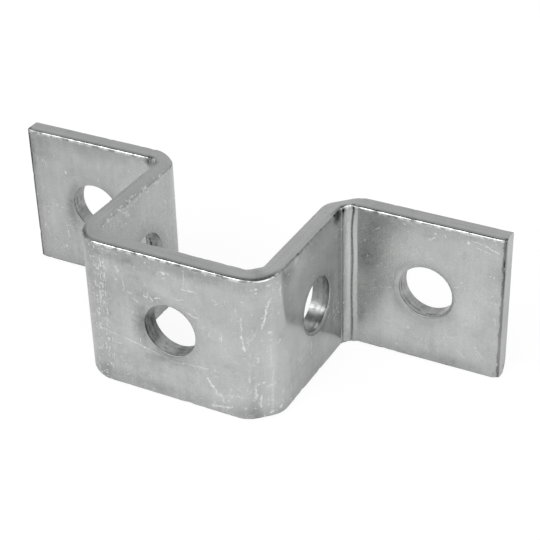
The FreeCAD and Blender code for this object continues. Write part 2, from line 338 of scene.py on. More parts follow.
def hole_rings(hole):
    """Add the rings between the two squares and join them."""
    front, back = square_outline(hole, False), square_outline(hole, True)
    outline = np.concatenate(skin.places)[front][:, :2] - [hole, 0]
    direction = outline / np.hypot(*outline.T)[:, None]
    rings = [front]

    def ring(radius, deep, share=0.0, wall=0.0):
        flat = (1 - share) * radius * direction + share * outline + [hole, 0]
        rings.append(skin.add(np.column_stack([flat, np.full(len(flat), deep)]), wall=wall))

    for i in range(1, FACE_RINGS + 1):
        ring(HOLE_RADIUS + RIM_WIDTH, 0.0, (1 - i / FACE_RINGS) ** CROWDING)
    for distance in np.linspace(RIM_WIDTH, LIP, RIM_RINGS)[1:]:
        ring(HOLE_RADIUS + distance, float(drawn_depth(distance, RIM_WIDTH, RIM_DROP)))
    ring(HOLE_RADIUS + LIP_OUT, RIM_DROP + LIP_DOWN, wall=0.5)
    for deep in np.linspace(RIM_DROP + LIP, THICKNESS - LIP, WALL_RINGS):
        ring(HOLE_RADIUS, deep, wall=1.0)
    ring(HOLE_RADIUS + LIP_OUT, THICKNESS - LIP_OUT, wall=0.5)
    for i in range(FACE_RINGS):
        ring(HOLE_RADIUS + LIP, THICKNESS, (i / FACE_RINGS) ** CROWDING)
    rings.append(back)
    for first, second in zip(rings, rings[1:]):
        skin.join(first, second)


for hole in HOLES:
    hole_rings(hole)
print(len(skin.faces), "faces")

# %% Keep only the points that a face uses
used = np.unique(np.concatenate(skin.faces))
new_number = np.zeros(skin.count, int)
new_number[used] = np.arange(len(used))
faces = [new_number[face].tolist() for face in skin.faces]
places = np.concatenate(skin.places)[used]
marks = {name: np.concatenate(values)[used] for name, values in skin.marks.items()}
print(f"{len(places)} points are in use, and {skin.count - len(used)} spare ones are left out")

# %% [markdown]
# ## Draw the ends down, bend, and make the mesh
#
# The shear drew the front edge of each end down. Then the whole skin is bent. The places on the
# flat bar stay with the mesh, and the finish is painted in them, so a scratch or a rolling line
# follows the bar round its bends.

# %% Bends thin where they stretch, each a little differently
OUTER_RADIUS = BEND_RADIUS + THICKNESS
WIDER = {("web", -1): 0.3, ("web", 1): 0.9, ("flange", -1): 0.2, ("flange", 1): 1.4}


def pulled_in(turn, past, wider):
    """How far a wider bend lies inside a bend of the outer radius.

    turn is the angle from the bend's start, and past how far a place lies outside the bend.
    """
    radius = OUTER_RADIUS + wider
    reach = wider * (np.cos(turn) + np.sin(turn))
    in_bend = OUTER_RADIUS + reach - np.sqrt(reach ** 2 + radius ** 2 - 2 * wider ** 2)
    beside = radius - np.sqrt(radius ** 2 - (wider - past).clip(0) ** 2)
    return np.where(past > 0, beside, in_bend)


def thinned(along, deep):
    """The depth of each place once the outside of each bend has stretched."""
    for (bend_name, side), wider in WIDER.items():
        start, outer_face = (WEB_END, 0.0) if bend_name == "web" else (LEG_END, THICKNESS)
        share = ((side * along - start) / BEND_LENGTH).clip(0, 1)
        past = np.abs(side * along - start - BEND_LENGTH / 2) - BEND_LENGTH / 2
        outside = 1 - np.abs(deep - outer_face) / THICKNESS
        pulled = pulled_in(share * math.pi / 2, past, wider) * outside
        deep = deep + (pulled if bend_name == "web" else -pulled)
    return deep


# %% The narrow faces are a little crowned by the rolls
CROWN, CROWN_POWER, CROWN_REACH = 0.13, 4, 1.5
off_middle = places[:, 2] / (THICKNESS / 2) - 1
at_edge = (np.abs(places[:, 1]) - WIDTH / 2 + CROWN_REACH).clip(0, 1)
crown = CROWN * off_middle ** CROWN_POWER * at_edge

# %% The bent skin as a mesh
along, across, deep = places.T
across = across - np.sign(across) * crown
from_end = BAR_END - np.abs(along)
drawn = drawn_depth(from_end, END_WIDTH, END_DROP) * (from_end < END_WIDTH)
deep = thinned(along, deep + drawn * (1 - deep / THICKNESS))
points = bend(along, across, deep)

mesh = bpy.data.meshes.new("strut_connector_skin")
mesh.from_pydata(points.tolist(), [], faces)
work = bmesh.new()
work.from_mesh(mesh)
bmesh.ops.recalc_face_normals(work, faces=work.faces)
print("open edges:", sum(not edge.is_manifold for edge in work.edges))
print("volume:", round(work.calc_volume() / MM ** 3), "mm3")
work.to_mesh(mesh)
work.free()

# %% How far the skin lies from the solid
solid = cad_bar.data
solid_tree = BVHTree.FromPolygons([v.co for v in solid.vertices], [p.vertices for p in solid.polygons])
gaps = np.array([solid_tree.find_nearest(Vector(p))[3] for p in points[::7]]) / MM
print(f"the skin lies at most {gaps.max():.3f} mm from the solid, {gaps.mean():.4f} on average")


# %% A normal for each point
def point_normals(mesh):
    """The mean normal round each point. A wide face counts for more than the round beside it."""
    normals = np.zeros((len(mesh.vertices), 3))
    for face in mesh.polygons:
        normals[list(face.vertices)] += np.array(face.normal) * face.area
    return normals / np.linalg.norm(normals, axis=1)[:, None]


outward = point_normals(mesh)

# %% [markdown]
# ## What the press left
#
# The flange bends were pushed in by a tool narrower than the bend. It left a low ridge in the
# hollow, with a shallow groove before it. Both lean over near the top edge. The ridge is only two
# tenths of a millimetre high, but it splits the hollow's reflection into two bands. The tool's
# corner also bit a small pocket into the top of each leg.

# %% The ridge in the flange bends, as (mm round the hollow from the leg, mm of height)
PRESSED = [(0.1, 0), (0.55, 0.07), (1.15, 0), (1.6, 0), (3.2, -0.13), (3.85, 0.19), (5.1, 0)]
LEAN, LEAN_FROM, LEAN_OVER = 0.45, 12.5, 6.0
WOBBLE, WOBBLE_RATE = 0.12, 0.32
POCKET_PLACE, POCKET_LENGTH, POCKET_DEPTH = LEG_END - 0.6, 3.4, 0.42
POCKET_FROM, POCKET_OVER, POCKET_POWER = 15.0, 5.3, 1.5


def smooth_line(value, stops):
    """A line through the stops, level at each of them."""
    value = np.clip(value, stops[0][0], stops[-1][0])
    height = np.zeros(len(value))
    for (x0, y0), (x1, y1) in zip(stops, stops[1:]):
        share = (value - x0) / (x1 - x0)
        inside = (share >= 0) & (share <= 1)
        height[inside] = (y0 + (y1 - y0) * share ** 2 * (3 - 2 * share))[inside]
    return height


def around(value, middle, width):
    """1 at the middle and 0 at a width from it, with soft sides."""
    return (1 - ((value - middle) / width) ** 2).clip(0) ** 2


hollow = (np.abs(along) - LEG_END) / BEND_LENGTH * (math.pi / 2 * BEND_RADIUS)
lean = LEAN * ((across - LEAN_FROM) / LEAN_OVER).clip(0, 1) ** 2 + WOBBLE * np.sin(across * WOBBLE_RATE)
front_side = (1 - deep / CORNER).clip(0, 1)
press = smooth_line(hollow - lean, PRESSED) * front_side
pocket = around(np.abs(along), POCKET_PLACE, POCKET_LENGTH)
pocket = pocket * ((across - POCKET_FROM) / POCKET_OVER).clip(0, 1) ** POCKET_POWER
press -= POCKET_DEPTH * pocket * front_side

# %% [markdown]
# ## Nicks
#
# Parts like this are tumbled, plated and shipped loose in a box, so their long edges are nicked.
# Each nick is a shallow dent. Some are listed one by one where they show most, and the rest are
# scattered with a fixed seed. The shear left nicks at the ends too.

# %% Dents along the long edges: place, length, depth
FRONT_TOP, BACK_TOP, FRONT_LOW, BACK_LOW = (1, 0), (1, THICKNESS), (-1, 0), (-1, THICKNESS)
FRONT_NICKS = [(0.2, 0.9, 0.16), (12.5, 0.6, 0.09), (LEG_START + 6, 1.6, 0.20),
               (LEG_START + 10, 0.9, 0.15), (LEG_START + 17, 1.1, 0.12), (LEG_START + 22, 0.7, 0.12)]
BACK_NICKS = [(-LEG_START - 5, 1.5, 0.12), (-LEG_START - 9, 1.0, 0.16), (-LEG_START - 13, 1.8, 0.11),
              (-LEG_START - 19, 1.2, 0.17), (-LEG_START - 24, 1.6, 0.10), (-LEG_END + 2, 0.9, 0.14)]
EDGE_REACH, END_REACH, BY_CHANCE = 1.1, 1.4, 190
nicks = [(FRONT_TOP, *nick) for nick in FRONT_NICKS] + [(BACK_TOP, *nick) for nick in BACK_NICKS]
chance = random.Random(11)
for _ in range(BY_CHANCE):
    nicks.append((chance.choice([FRONT_TOP, BACK_TOP, FRONT_LOW, BACK_LOW]),
                  chance.uniform(-BAR_END, BAR_END),
                  0.35 + 1.3 * chance.random() ** 2, 0.03 + 0.13 * chance.random() ** 2))
dents = np.zeros(len(points))


def dent(run, place, length, off_edge, reach, depth):
    """Sink the skin at a place on the run of an edge, and less with the distance off the edge."""
    sunk = depth * around(run, place, length) * (1 - (off_edge / reach) ** 2).clip(0)
    np.maximum(dents, sunk, out=dents)


for (side, face), place, length, depth in nicks:
    dent(along, place, length, np.hypot(side * across - WIDTH / 2, deep - face), EDGE_REACH, depth)

# %% Nicks of the sheared ends: side, the edge's depth, place across, length, depth
FRONT_END, BACK_END = END_DROP, THICKNESS
END_NICKS = [(1, FRONT_END, 13.2, 1.8, 0.34), (1, FRONT_END, 3.0, 0.7, 0.10),
             (1, FRONT_END, -8.0, 1.0, 0.10), (-1, FRONT_END, 6.0, 0.8, 0.10),
             (-1, FRONT_END, -12.0, 1.2, 0.12), (1, BACK_END, -20.3, 3.2, 0.75),
             (1, FRONT_END, -20.3, 2.0, 0.30), (-1, BACK_END, -20.3, 2.0, 0.35)]
for side, face, place, length, depth in END_NICKS:
    dent(across, place, length, np.hypot(side * along - BAR_END, deep - face), END_REACH, depth)
print(len(nicks) + len(END_NICKS), "nicks, the deepest", dents.max().round(2), "mm")

# %% [markdown]
# ## Waviness and broken metal
#
# No rolled bar is quite flat. A slow waviness of a hundredth of a millimetre makes reflections
# swim a little. It only goes inwards, so the bar keeps inside its full size. Where the punch and
# the shear broke the metal instead of cutting it, the wall is rough.

# %% Apply the wear to the skin: each row of waves is (height, size, seed)
FACE_WAVES = [(0.016, 13, 1), (0.005, 4, 2)]
BROKEN_WAVES = [(0.035, 0.9, 3)]
CUT_DEPTH, BREAK_OVER, BACK_OVER = 1.8, 0.6, 0.4


def waves(rows):
    """Smooth noise that only goes inwards, in millimetres."""
    total = 0
    for height, size, seed in rows:
        shift = Vector((31.7 * seed, -17.3 * seed, 5.9 * seed))
        heights = [noise.noise(Vector(p) / size + shift) for p in places.tolist()]
        total = total + height * (np.array(heights) - 1)
    return total


broken = np.clip((deep - CUT_DEPTH) / BREAK_OVER, 0, 1) * np.clip((THICKNESS - deep) / BACK_OVER, 0, 1)
broken = broken * (marks["wall"] + marks["cut_end"])
rise = waves(FACE_WAVES) * (1 - marks["wall"]) + waves(BROKEN_WAVES) * broken + (press - dents)
mesh.vertices.foreach_set("co", (points + MM * rise[:, None] * outward).astype(np.float32).ravel())
mesh.update()
mesh.shade_smooth()
mesh.normals_split_custom_set_from_vertices(point_normals(mesh).tolist())


def new_object(name, data):
    """Put a mesh, lamp or camera in the scene."""
    made = bpy.data.objects.new(name, data)
    bpy.context.scene.collection.objects.link(made)
    return made


bar = new_object("strut_connector_skin", mesh)
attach(bar, "root")
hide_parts("strut_connector")
print("faces", len(mesh.polygons), "triangles", sum(len(p.vertices) - 2 for p in mesh.polygons))

# %% Keep the places on the flat bar for the finish
layer = mesh.attributes.new("bar_mm", "FLOAT_VECTOR", "POINT")
layer.data.foreach_set("vector", places.astype(np.float32).ravel())
for name, values in marks.items():
    layer = mesh.attributes.new(name, "FLOAT", "POINT")
    layer.data.foreach_set("value", values.astype(np.float32))


# %% [markdown]
# ## Shader maths as Python
#
# A material is a tree of nodes, and long sums are hard to read there. With the class below, a
# mask reads like a formula.

# %% A wire between nodes
class Wire:
    """One output of a node. Arithmetic on it adds Math nodes, and a | b is the larger of two."""

    def __init__(self, socket):
        self.socket, self.tree = socket, socket.id_data

    @classmethod
    def node(cls, tree, kind, inputs=None, output=0, **settings):
        """Make a shader node: its settings first, then the values or wires of its sockets."""
        made = tree.nodes.new("ShaderNode" + kind)
        for name, value in settings.items():
            setattr(made, name, value)
        for name, value in (inputs or {}).items():
            if isinstance(value, Wire):
                tree.links.new(value.socket, made.inputs[name])
            else:
                made.inputs[name].default_value = value
        return cls(made.outputs[output])

    def math(self, operation, *others, **settings):
        inputs = dict(enumerate((self, *others)))
        return self.node(self.tree, "Math", inputs, operation=operation, **settings)

    __add__ = partialmethod(math, "ADD")
    __sub__ = partialmethod(math, "SUBTRACT")
    __mul__ = partialmethod(math, "MULTIPLY")
    __truediv__ = partialmethod(math, "DIVIDE")
    __pow__ = partialmethod(math, "POWER")
    __or__ = partialmethod(math, "MAXIMUM")
    __abs__ = partialmethod(math, "ABSOLUTE")
    clamp = partialmethod(math, "ADD", 0, use_clamp=True)

    def __rsub__(self, other):
        return self.node(self.tree, "Math", {0: other, 1: self}, operation="SUBTRACT")

    def step(self, low, high, top=1):
        """A soft step from 0 below low to top above high. With low above high it falls instead."""
        ends = {1: low, 2: high, 3: 0, 4: top} if low <= high else {1: high, 2: low, 3: top, 4: 0}
        return self.node(self.tree, "MapRange", {0: self, **ends}, interpolation_type="SMOOTHSTEP")

    def near(self, middle, inner, outer, top=1):
        """A soft band: top within inner of the middle, and 0 beyond outer."""
        return abs(self - middle).step(outer, inner, top)


# %% [markdown]
# ## Zinc plate
#
# Bright zinc plate is a soft satin metal, grey and a little cool. It is never even. The bath
# leaves cloudy patches and faint runs across the bar, and rolling leaves fine lines along its
# narrow faces. A small class holds the place on the bar and makes noises of a known size, all in
# millimetres. Each noise has a shift of its own, so that no two are alike.

# %% The place on the bar, and noises of a known size
GIVE_NUMBERS = ("DOT_PRODUCT", "DISTANCE", "LENGTH")
WAVE_SIZE = 0.8


class Bar:
    """Where on the flat bar a shaded point is, as wires in one tree, in millimetres."""

    def __init__(self, tree):
        self.tree = tree
        self.place = self.stored("bar_mm", "Vector")
        self.along, self.across, self.deep = self.split(self.place)
        self.wall, self.narrow = self.stored("wall"), self.stored("narrow")
        self.edge, self.cut_end = self.stored("edge"), self.stored("cut_end")
        self.far, self.height = abs(self.along), abs(self.across)
        self.front = self.deep.step(1.6, 0.6)
        self.face = 1 - self.wall
        self.flat = self.vector(self.along, self.across, 0)
        self.unrolled = self.vector(self.along, self.across + self.deep, 0)
        self.ragged = self.colours(2.2)
        centred = self.on_vectors("ADD", self.flat, (-WAVE_SIZE / 2, -WAVE_SIZE / 2, 0))
        spread = (WAVE_SIZE, WAVE_SIZE, 0)
        self.wavy = self.on_vectors("MULTIPLY_ADD", self.colours(0.9), spread, centred)

    def stored(self, name, output="Fac"):
        """What the mesh keeps under a name."""
        return Wire.node(self.tree, "Attribute", output=output, attribute_name=name)

    def split(self, vector):
        """The three numbers of a vector, as wires."""
        return [Wire.node(self.tree, "SeparateXYZ", {0: vector}, output=i) for i in range(3)]

    def vector(self, x, y, z):
        return Wire.node(self.tree, "CombineXYZ", {0: x, 1: y, 2: z})

    def on_vectors(self, operation, *values):
        """Vector maths. Some operations give a number, and the others a vector."""
        output = int(operation in GIVE_NUMBERS)
        return Wire.node(self.tree, "VectorMath", dict(enumerate(values)), output, operation=operation)

    def colours(self, scale):
        """Noise in three channels, which moves a place a little in every direction."""
        return Wire.node(self.tree, "TexNoise", {"Vector": self.unrolled, "Scale": scale},
                         output="Color", noise_dimensions="2D")

    def cloud(self, size, where=None, detail=2, roughness=0.5, shift=0):
        """Soft noise with patches of about that size in millimetres, from 0 to 1."""
        moved = self.on_vectors("ADD", where or self.place, (shift * size * 7.3,) * 3)
        return Wire.node(self.tree, "TexNoise", {"Vector": moved, "Scale": 1 / size,
                                                 "Detail": detail, "Roughness": roughness})


# %% [markdown]
# ## Pale specks and dashes
#
# Knocks and rubbing leave pale marks: specks, and dashes a millimetre or two long. Both are cells
# of a Voronoi pattern with most of its cells left out. A cell's own random colour decides whether
# it shows and how large it is, and squeezing the pattern turns specks into dashes.

# %% Cells that show where wear is likely. Dashes are (angle, length, width, share, shift)
DASHES = [(20, 2, 0.26, 0.6, 29), (-35, 2.2, 0.24, 0.5, 31), (3, 2.4, 0.26, 0.4, 37)]


def cells(bar, where, size, likely, radius, ragged_by, shift):
    """Scattered spots: a share of a Voronoi pattern's cells, each with its own size."""
    moved = bar.on_vectors("MULTIPLY_ADD", bar.ragged, (ragged_by,) * 3, where)
    placed = bar.on_vectors("ADD", moved, (shift * 7.3, shift * 3.1, 0))
    voronoi = Wire.node(bar.tree, "TexVoronoi", {"Vector": placed, "Scale": 1 / size},
                        voronoi_dimensions="2D")
    shows, large, bright = bar.split(Wire(voronoi.socket.node.outputs["Color"]))
    spot = (voronoi / (large * 0.75 + 0.45)).step(radius / size, 0.55 * radius / size)
    return spot * (shows - (1 - likely)).step(0, 0.03) * (bright * 0.55 + 0.45)


def dashes(bar, angle, length, width, likely, shift):
    """Short scratches at an angle to the bar's length."""
    x, y = math.cos(math.radians(angle)), math.sin(math.radians(angle))
    u = bar.on_vectors("DOT_PRODUCT", bar.unrolled, (x / length, y / length, 0))
    v = bar.on_vectors("DOT_PRODUCT", bar.unrolled, (-y / width, x / width, 0))
    return cells(bar, bar.vector(u, v, 0), 1, likely, 0.42, 0.1, shift)


def scattered_marks(bar):
    """Specks and dashes, crowded on the left bend and a few of them elsewhere."""
    wide_only, mostly_wide = 1 - bar.narrow, 1 - bar.narrow * 0.85
    left_bend = bar.along.near(-18.6, 0.8, 2.6)
    right_bend = bar.along.near(22, 2, 6)
    low_right = bar.along.step(4, 14) * bar.across.step(-4, -12) * bar.along.step(30, 22)
    rubbed = bar.cloud(5.5, roughness=0.6, shift=13).step(0.45, 0.72)
    sparse = (rubbed * 0.085 + 0.012) * mostly_wide
    likely = sparse + left_bend * 0.26 * mostly_wide
    spotted = likely + (right_bend * 0.07 + low_right * 0.09) * wide_only
    specks = (cells(bar, bar.unrolled, 0.8, spotted, 0.3, 0.55, 17)
              | cells(bar, bar.unrolled, 1.9, spotted * 0.5, 0.55, 0.9, 19))
    on_left = left_bend * 0.36 * bar.across.step(-17, -11) * wide_only
    crossing = dashes(bar, 88, 2.6, 0.3, likely * 0.9, 23) | dashes(bar, 91, 1.1, 0.34, on_left, 59)
    for angle, length, width, share, shift in DASHES:
        crossing = crossing | dashes(bar, angle, length, width, sparse * share, shift)
    lines = bar.vector(bar.along, bar.across * 0.22, bar.deep)
    drawn = bar.cloud(0.7, lines, shift=39).step(0.55, 0.8) * right_bend
    return specks * 0.7 | crossing * 0.66 | drawn * 0.26


# %% [markdown]
# ## Scratches, and patches of painted light and shade
#
# A few longer scratches are plain to see. The distance from a point to a scratch's line gives the
# mask, and noise breaks it up. Soft darker and lighter patches of painted light and shade are
# ellipses with ragged borders. Both are listed from the left end of the bar to the right.

# %% Scratches on the front face: along and across at each end, width, strength
SCRATCHES = [
    (-99.8, 11.8, -99.5, 9.6, 0.2, 0.6), (-94.6, -9.3, -94, -11, 0.34, 0.9),
    (-93.4, 9.6, -93.2, 9, 0.34, 0.8), (-20.3, -4.4, -13, -5.6, 0.16, 0.6),
    (-19.6, -3.2, -19.4, -5, 0.26, 0.7), (-18.9, 6.2, -18.7, 4.4, 0.3, 0.8),
    (-18.4, 15.6, -17.9, 13.6, 0.34, 0.9), (-17.4, 14.8, -16.9, 13.4, 0.26, 0.8),
    (-13.8, 14.3, -13.2, 13.4, 0.5, 1), (-13, -5.6, -6.2, -7, 0.2, 0.9),
    (-12.1, 11.8, -11.9, 8, 0.16, 0.6), (-10.8, 8.2, -9.6, 8, 0.26, 0.8),
    (-9.4, 6.8, -8.2, 6, 0.24, 0.7), (-6.4, 8.3, -5.4, 8.1, 0.24, 0.9),
    (-6.2, -7, 0.8, -8.6, 0.16, 0.5), (-5.4, 9.6, -5.2, 7.8, 0.16, 0.6),
    (-4.6, 8.6, -4.1, 7.6, 0.22, 0.8), (-3.4, 8.4, -2, 8.8, 0.26, 1),
    (-1.9, 16.2, 1.1, 16.5, 0.24, 0.8), (0.8, -8.6, 3.4, -8.4, 0.16, 0.5),
    (2.6, 9.8, 4.4, 10.2, 0.2, 0.6), (3.4, -8.2, 10.1, -7.8, 0.18, 0.6),
    (4.1, 13.1, 7.9, 13.2, 0.22, 0.9), (5, 18.4, 4.8, 12.8, 0.14, 0.6),
    (5.3, 6.9, 6.8, 6.2, 0.22, 0.7), (6.8, 6.2, 8.4, 6.2, 0.22, 0.8), (7.2, 8.4, 8, 7.2, 0.18, 0.5),
    (7.4, -9, 7.5, -13, 0.12, 0.4), (10.3, -10.9, 11.2, -12.6, 0.26, 0.9),
    (11, -18, 15.8, -17.4, 0.4, 0.7), (11.5, -12.4, 12.6, -14.4, 0.34, 0.7),
    (12, -6.4, 12.2, -8, 0.18, 0.6), (13.2, -14, 14.2, -16, 0.22, 0.8),
    (15.6, -13.6, 19, -13.4, 0.18, 0.5), (16.4, -9.8, 18.6, -11.4, 0.18, 0.6),
    (18.4, 12, 18.7, 9.6, 0.16, 0.5), (19.2, 9.2, 19.3, 4.8, 0.2, 0.6),
    (19.3, 4.4, 19.8, 0.2, 0.34, 0.9), (20.1, 2.5, 21.1, 3.7, 0.16, 0.6),
    (20.5, -6.6, 20.3, -8.6, 0.2, 0.5), (21.1, 3.7, 21.8, 5.6, 0.16, 0.5),
    (21.4, -9.6, 21.4, -13.4, 0.3, 0.7), (22.3, -12.6, 22.2, -16, 0.22, 0.6),
    (22.7, 6.3, 23.3, 8.3, 0.2, 0.7), (23.3, 8.3, 23.7, 11.5, 0.3, 0.9),
    (23.7, 11.5, 24.6, 14, 0.22, 0.8), (24.3, 1, 24.2, -4, 0.18, 0.4),
    (24.6, -6.5, 24.4, -17, 0.22, 0.45), (26.7, 16.2, 26.6, 13.6, 0.22, 0.8),
    (85.4, 15.3, 86.6, 16.3, 0.3, 1), (89.2, 17.6, 89.4, 17.3, 0.34, 1),
    (93, -13.6, 95.6, -16.2, 0.24, 0.6), (95, 17.4, 95.4, 16.9, 0.4, 1),
    (96.6, 17.7, 99.5, 17.2, 0.18, 0.7), (97.6, 16.2, 100.6, 15.4, 0.2, 0.6),
    (98, -12, 100.2, -14.6, 0.2, 0.6), (99.5, 17.2, 103, 16, 0.26, 1),
]
# The same on the back face, most of them inside the left leg
BACK_SCRATCHES = [
    (-98, 12, -95, 15, 0.2, 0.6), (-92, -14, -86, -12.5, 0.18, 0.6),
    (-54.6, 12.4, -55.4, 11, 0.24, 0.8), (-51.8, 19, -53.2, 18.7, 0.26, 0.9),
    (-46.4, 18.8, -47.2, 18.6, 0.3, 0.9), (-43.5, 12, -42.8, 10.2, 0.18, 0.5),
    (-41.2, 18.9, -42.6, 18.8, 0.24, 0.9), (-37.2, 17.6, -37.9, 16.8, 0.9, 1),
    (-35.8, 18.4, -36.5, 18.1, 0.34, 0.9), (-33.2, 17.4, -34.4, 17, 0.24, 0.7),
    (-6, 9, -1, 12.5, 0.16, 0.5), (8, -13, 14, -10.5, 0.16, 0.5), (38, 12, 41, 15.5, 0.18, 0.5),
    (74, 10, 79, 14, 0.18, 0.6), (96, 6, 97, 1, 0.2, 0.6),
]

# %% Patches of painted light and shade on the front face: along, across, reach each way, how much lighter
PAINTED_LIGHT_AND_SHADE = [
    (-104.6, 12, 3, 12, -0.13), (-104.2, 0, 2.8, 34, -0.09), (-101.5, 15.5, 5.5, 5.5, -0.1),
    (-99, -4, 4, 12, 0.045), (-96, 11, 7, 4, 0.04), (-92.5, -3, 2.8, 9, -0.09),
    (-92, -2, 4, 9, -0.05), (-91, 15, 4, 5, 0.04), (-90.5, 3, 3.4, 7, -0.08), (-88, 14, 4, 4, 0.07),
    (-84, 10, 9, 3, -0.03), (-84, -15, 14, 5, -0.03), (-74, 3, 4, 8, 0.045),
    (-71.5, 17.5, 2, 2, 0.06), (-66, 18.9, 2.2, 2.4, -0.36), (-56.6, 18.6, 2.4, 2, -0.25),
    (-24.2, 0, 3.2, 30, -0.14), (-23, 19.8, 3.4, 1.1, -0.22), (-19.5, 0, 4.5, 40, -0.09),
    (-19, -17.5, 5, 4, -0.06), (-15.5, 2, 5, 22, -0.045), (-14, 17.5, 9, 3, -0.06),
    (-11, -11.5, 8, 6, -0.06), (-10.5, 9, 7.5, 8, -0.1), (-10, 16.5, 12, 4.5, -0.075),
    (-8, -17, 13, 4, -0.07), (-7.6, -1, 3.6, 9, -0.15), (-6, -11, 9, 4, -0.04),
    (-6, 13.5, 9, 5, -0.05), (-4, 8.5, 6, 3, -0.09), (-3, -8.5, 7, 3.4, -0.1),
    (0, -17, 16, 3.5, -0.04), (2, -13, 7, 4, -0.045), (3, -8.5, 7, 3.4, -0.09),
    (8, 18, 16, 3, -0.07), (10, -4, 6, 6, -0.02), (12, 2, 7, 9, 0.03), (12.5, -15, 6, 3.5, 0.045),
    (15.5, -2, 5, 6, 0.045), (20, -18, 6, 4, -0.06), (20.8, -17, 2.4, 6, -0.06),
    (21, 17.5, 5, 3, -0.05), (21.2, -14, 1.8, 10, -0.06), (23, 10, 3.4, 12, -0.05),
    (24.2, -3, 1.8, 19, 0.05), (32, -8, 5, 12, -0.04), (33, 14, 4, 4, 0.12),
    (35.5, 17.4, 8, 4, 0.12), (37, 14.5, 7, 6, 0.1), (42, -14, 16, 8, -0.085),
    (44, -9, 10, 5, -0.06), (52, 3, 6, 22, -0.085), (55, 11, 4, 10, -0.07),
    (56.6, 18.8, 4.4, 2.8, -0.46), (60.2, 19.6, 2.4, 1.6, -0.34), (70, 6, 4, 8, -0.03),
    (75, -14, 8, 6, 0.07), (75.6, -9, 5, 12, 0.075), (76, 1, 5, 18, 0.085), (77, 11.5, 5, 6, 0.05),
    (77.6, -4, 3.2, 8, -0.13), (80, -9, 7, 8, 0.045), (84, 12, 8, 4, 0.01), (86, -2, 24, 26, 0.03),
    (90, -18.5, 16, 3, -0.07), (91.5, -5.5, 4, 4, -0.05), (92, -12, 8, 5, 0.05),
    (96, -2, 7, 9, 0.04), (102, -14, 4, 8, -0.04), (102.5, 10, 3, 9, -0.06),
    (104.2, 17.5, 2.2, 4, -0.06), (104.6, 9, 2.4, 12, -0.08), (105, 13.4, 1.5, 2.6, -0.22),
]
# Painted light and shade on some holes' walls, mostly on one side
PAINTED_WALL_LIGHT_AND_SHADE = [
    (-FLANGE_HOLE - 6, 1, 6, 10, -0.14), (-LEG_HOLE, 0, 30, 30, -0.21),
    (-7, -1, 5, 9, -0.24), (3, -6, 6, 4, 0.05), (LEG_HOLE + 3, 6.6, 5, 3.4, -0.16),
    (LEG_HOLE + 3.5, -6.4, 4, 3.4, 0.3), (LEG_HOLE + 6.6, -2, 3.6, 5, 0.26),
    (FLANGE_HOLE - 6.5, 0, 5, 9, -0.1),
]
# The second count is of the patches of painted light and shade.
print(len(SCRATCHES + BACK_SCRATCHES), "scratches and", len(PAINTED_LIGHT_AND_SHADE + PAINTED_WALL_LIGHT_AND_SHADE), "smudges")


# %% Draw them as masks
def scratch(bar, from_start, mark):
    """A scratch between two places."""
    along, across, end_along, end_across, width, strength = mark
    run = (end_along - along, end_across - across, 0)
    square = math.hypot(*run) ** 2
    share = bar.on_vectors("DOT_PRODUCT", from_start, tuple(value / square for value in run)).clamp()
    nearest = Wire.node(bar.tree, "VectorMath", {0: run, "Scale": share}, operation="SCALE")
    return bar.on_vectors("DISTANCE", from_start, nearest).step(width, 0.3 * width, strength)


def painted_patch(bar, from_middle, mark):
    """A soft ellipse with a ragged border, for painted light and shade."""
    scaled = bar.on_vectors("DIVIDE", from_middle, (*mark[2:4], 1))
    return (bar.on_vectors("LENGTH", scaled) + bar.uneven).step(1, 0, mark[4])


def all_of(rows, draw, bar, join, low, high):
    """The marks that reach a part of the bar. The place is walked on from one mark to the next."""
    total = Wire.node(bar.tree, "Value")
    total.socket.default_value = 0
    walked, last = bar.wavy if draw is scratch else bar.flat, (0, 0)
    for mark in rows:
        ends = (mark[0], mark[2]) if draw is scratch else (mark[0] - mark[2], mark[0] + mark[2])
        if max(ends) > low - 1 and min(ends) < high + 1:
            walked = bar.on_vectors("ADD", walked, (last[0] - mark[0], last[1] - mark[1], 0))
            last = mark[:2]
            total = total.math(join, draw(bar, walked, mark))
    return total


def pale_marks(bar, low, high):
    """Every pale mark on one part of the bar."""
    broken = bar.cloud(0.6, detail=3, roughness=0.7, shift=41).step(0.4, 0.58)
    front = all_of(SCRATCHES, scratch, bar, "MAXIMUM", low, high) * bar.front
    back = all_of(BACK_SCRATCHES, scratch, bar, "MAXIMUM", low, high) * bar.deep.step(3.6, 4.5)
    scratches = (front + back) * (broken * 0.74 + 0.22)
    inner_left = bar.along.near(-42, 13, 17) * bar.deep.step(3, 4.4)
    chipped = inner_left * bar.across.step(17.2, 18.6)
    chipped = chipped * bar.cloud(0.9, detail=3, shift=61).step(0.55, 0.66, 0.75)
    return (scattered_marks(bar) | scratches | chipped) * bar.face


# %% [markdown]
# ## The wall of a hole
#
# A punched wall has bands round it: a bright cut band below the rim, a dark step where the metal
# began to break, and broken metal down to the back. Fine lines run down it where the punch slid.

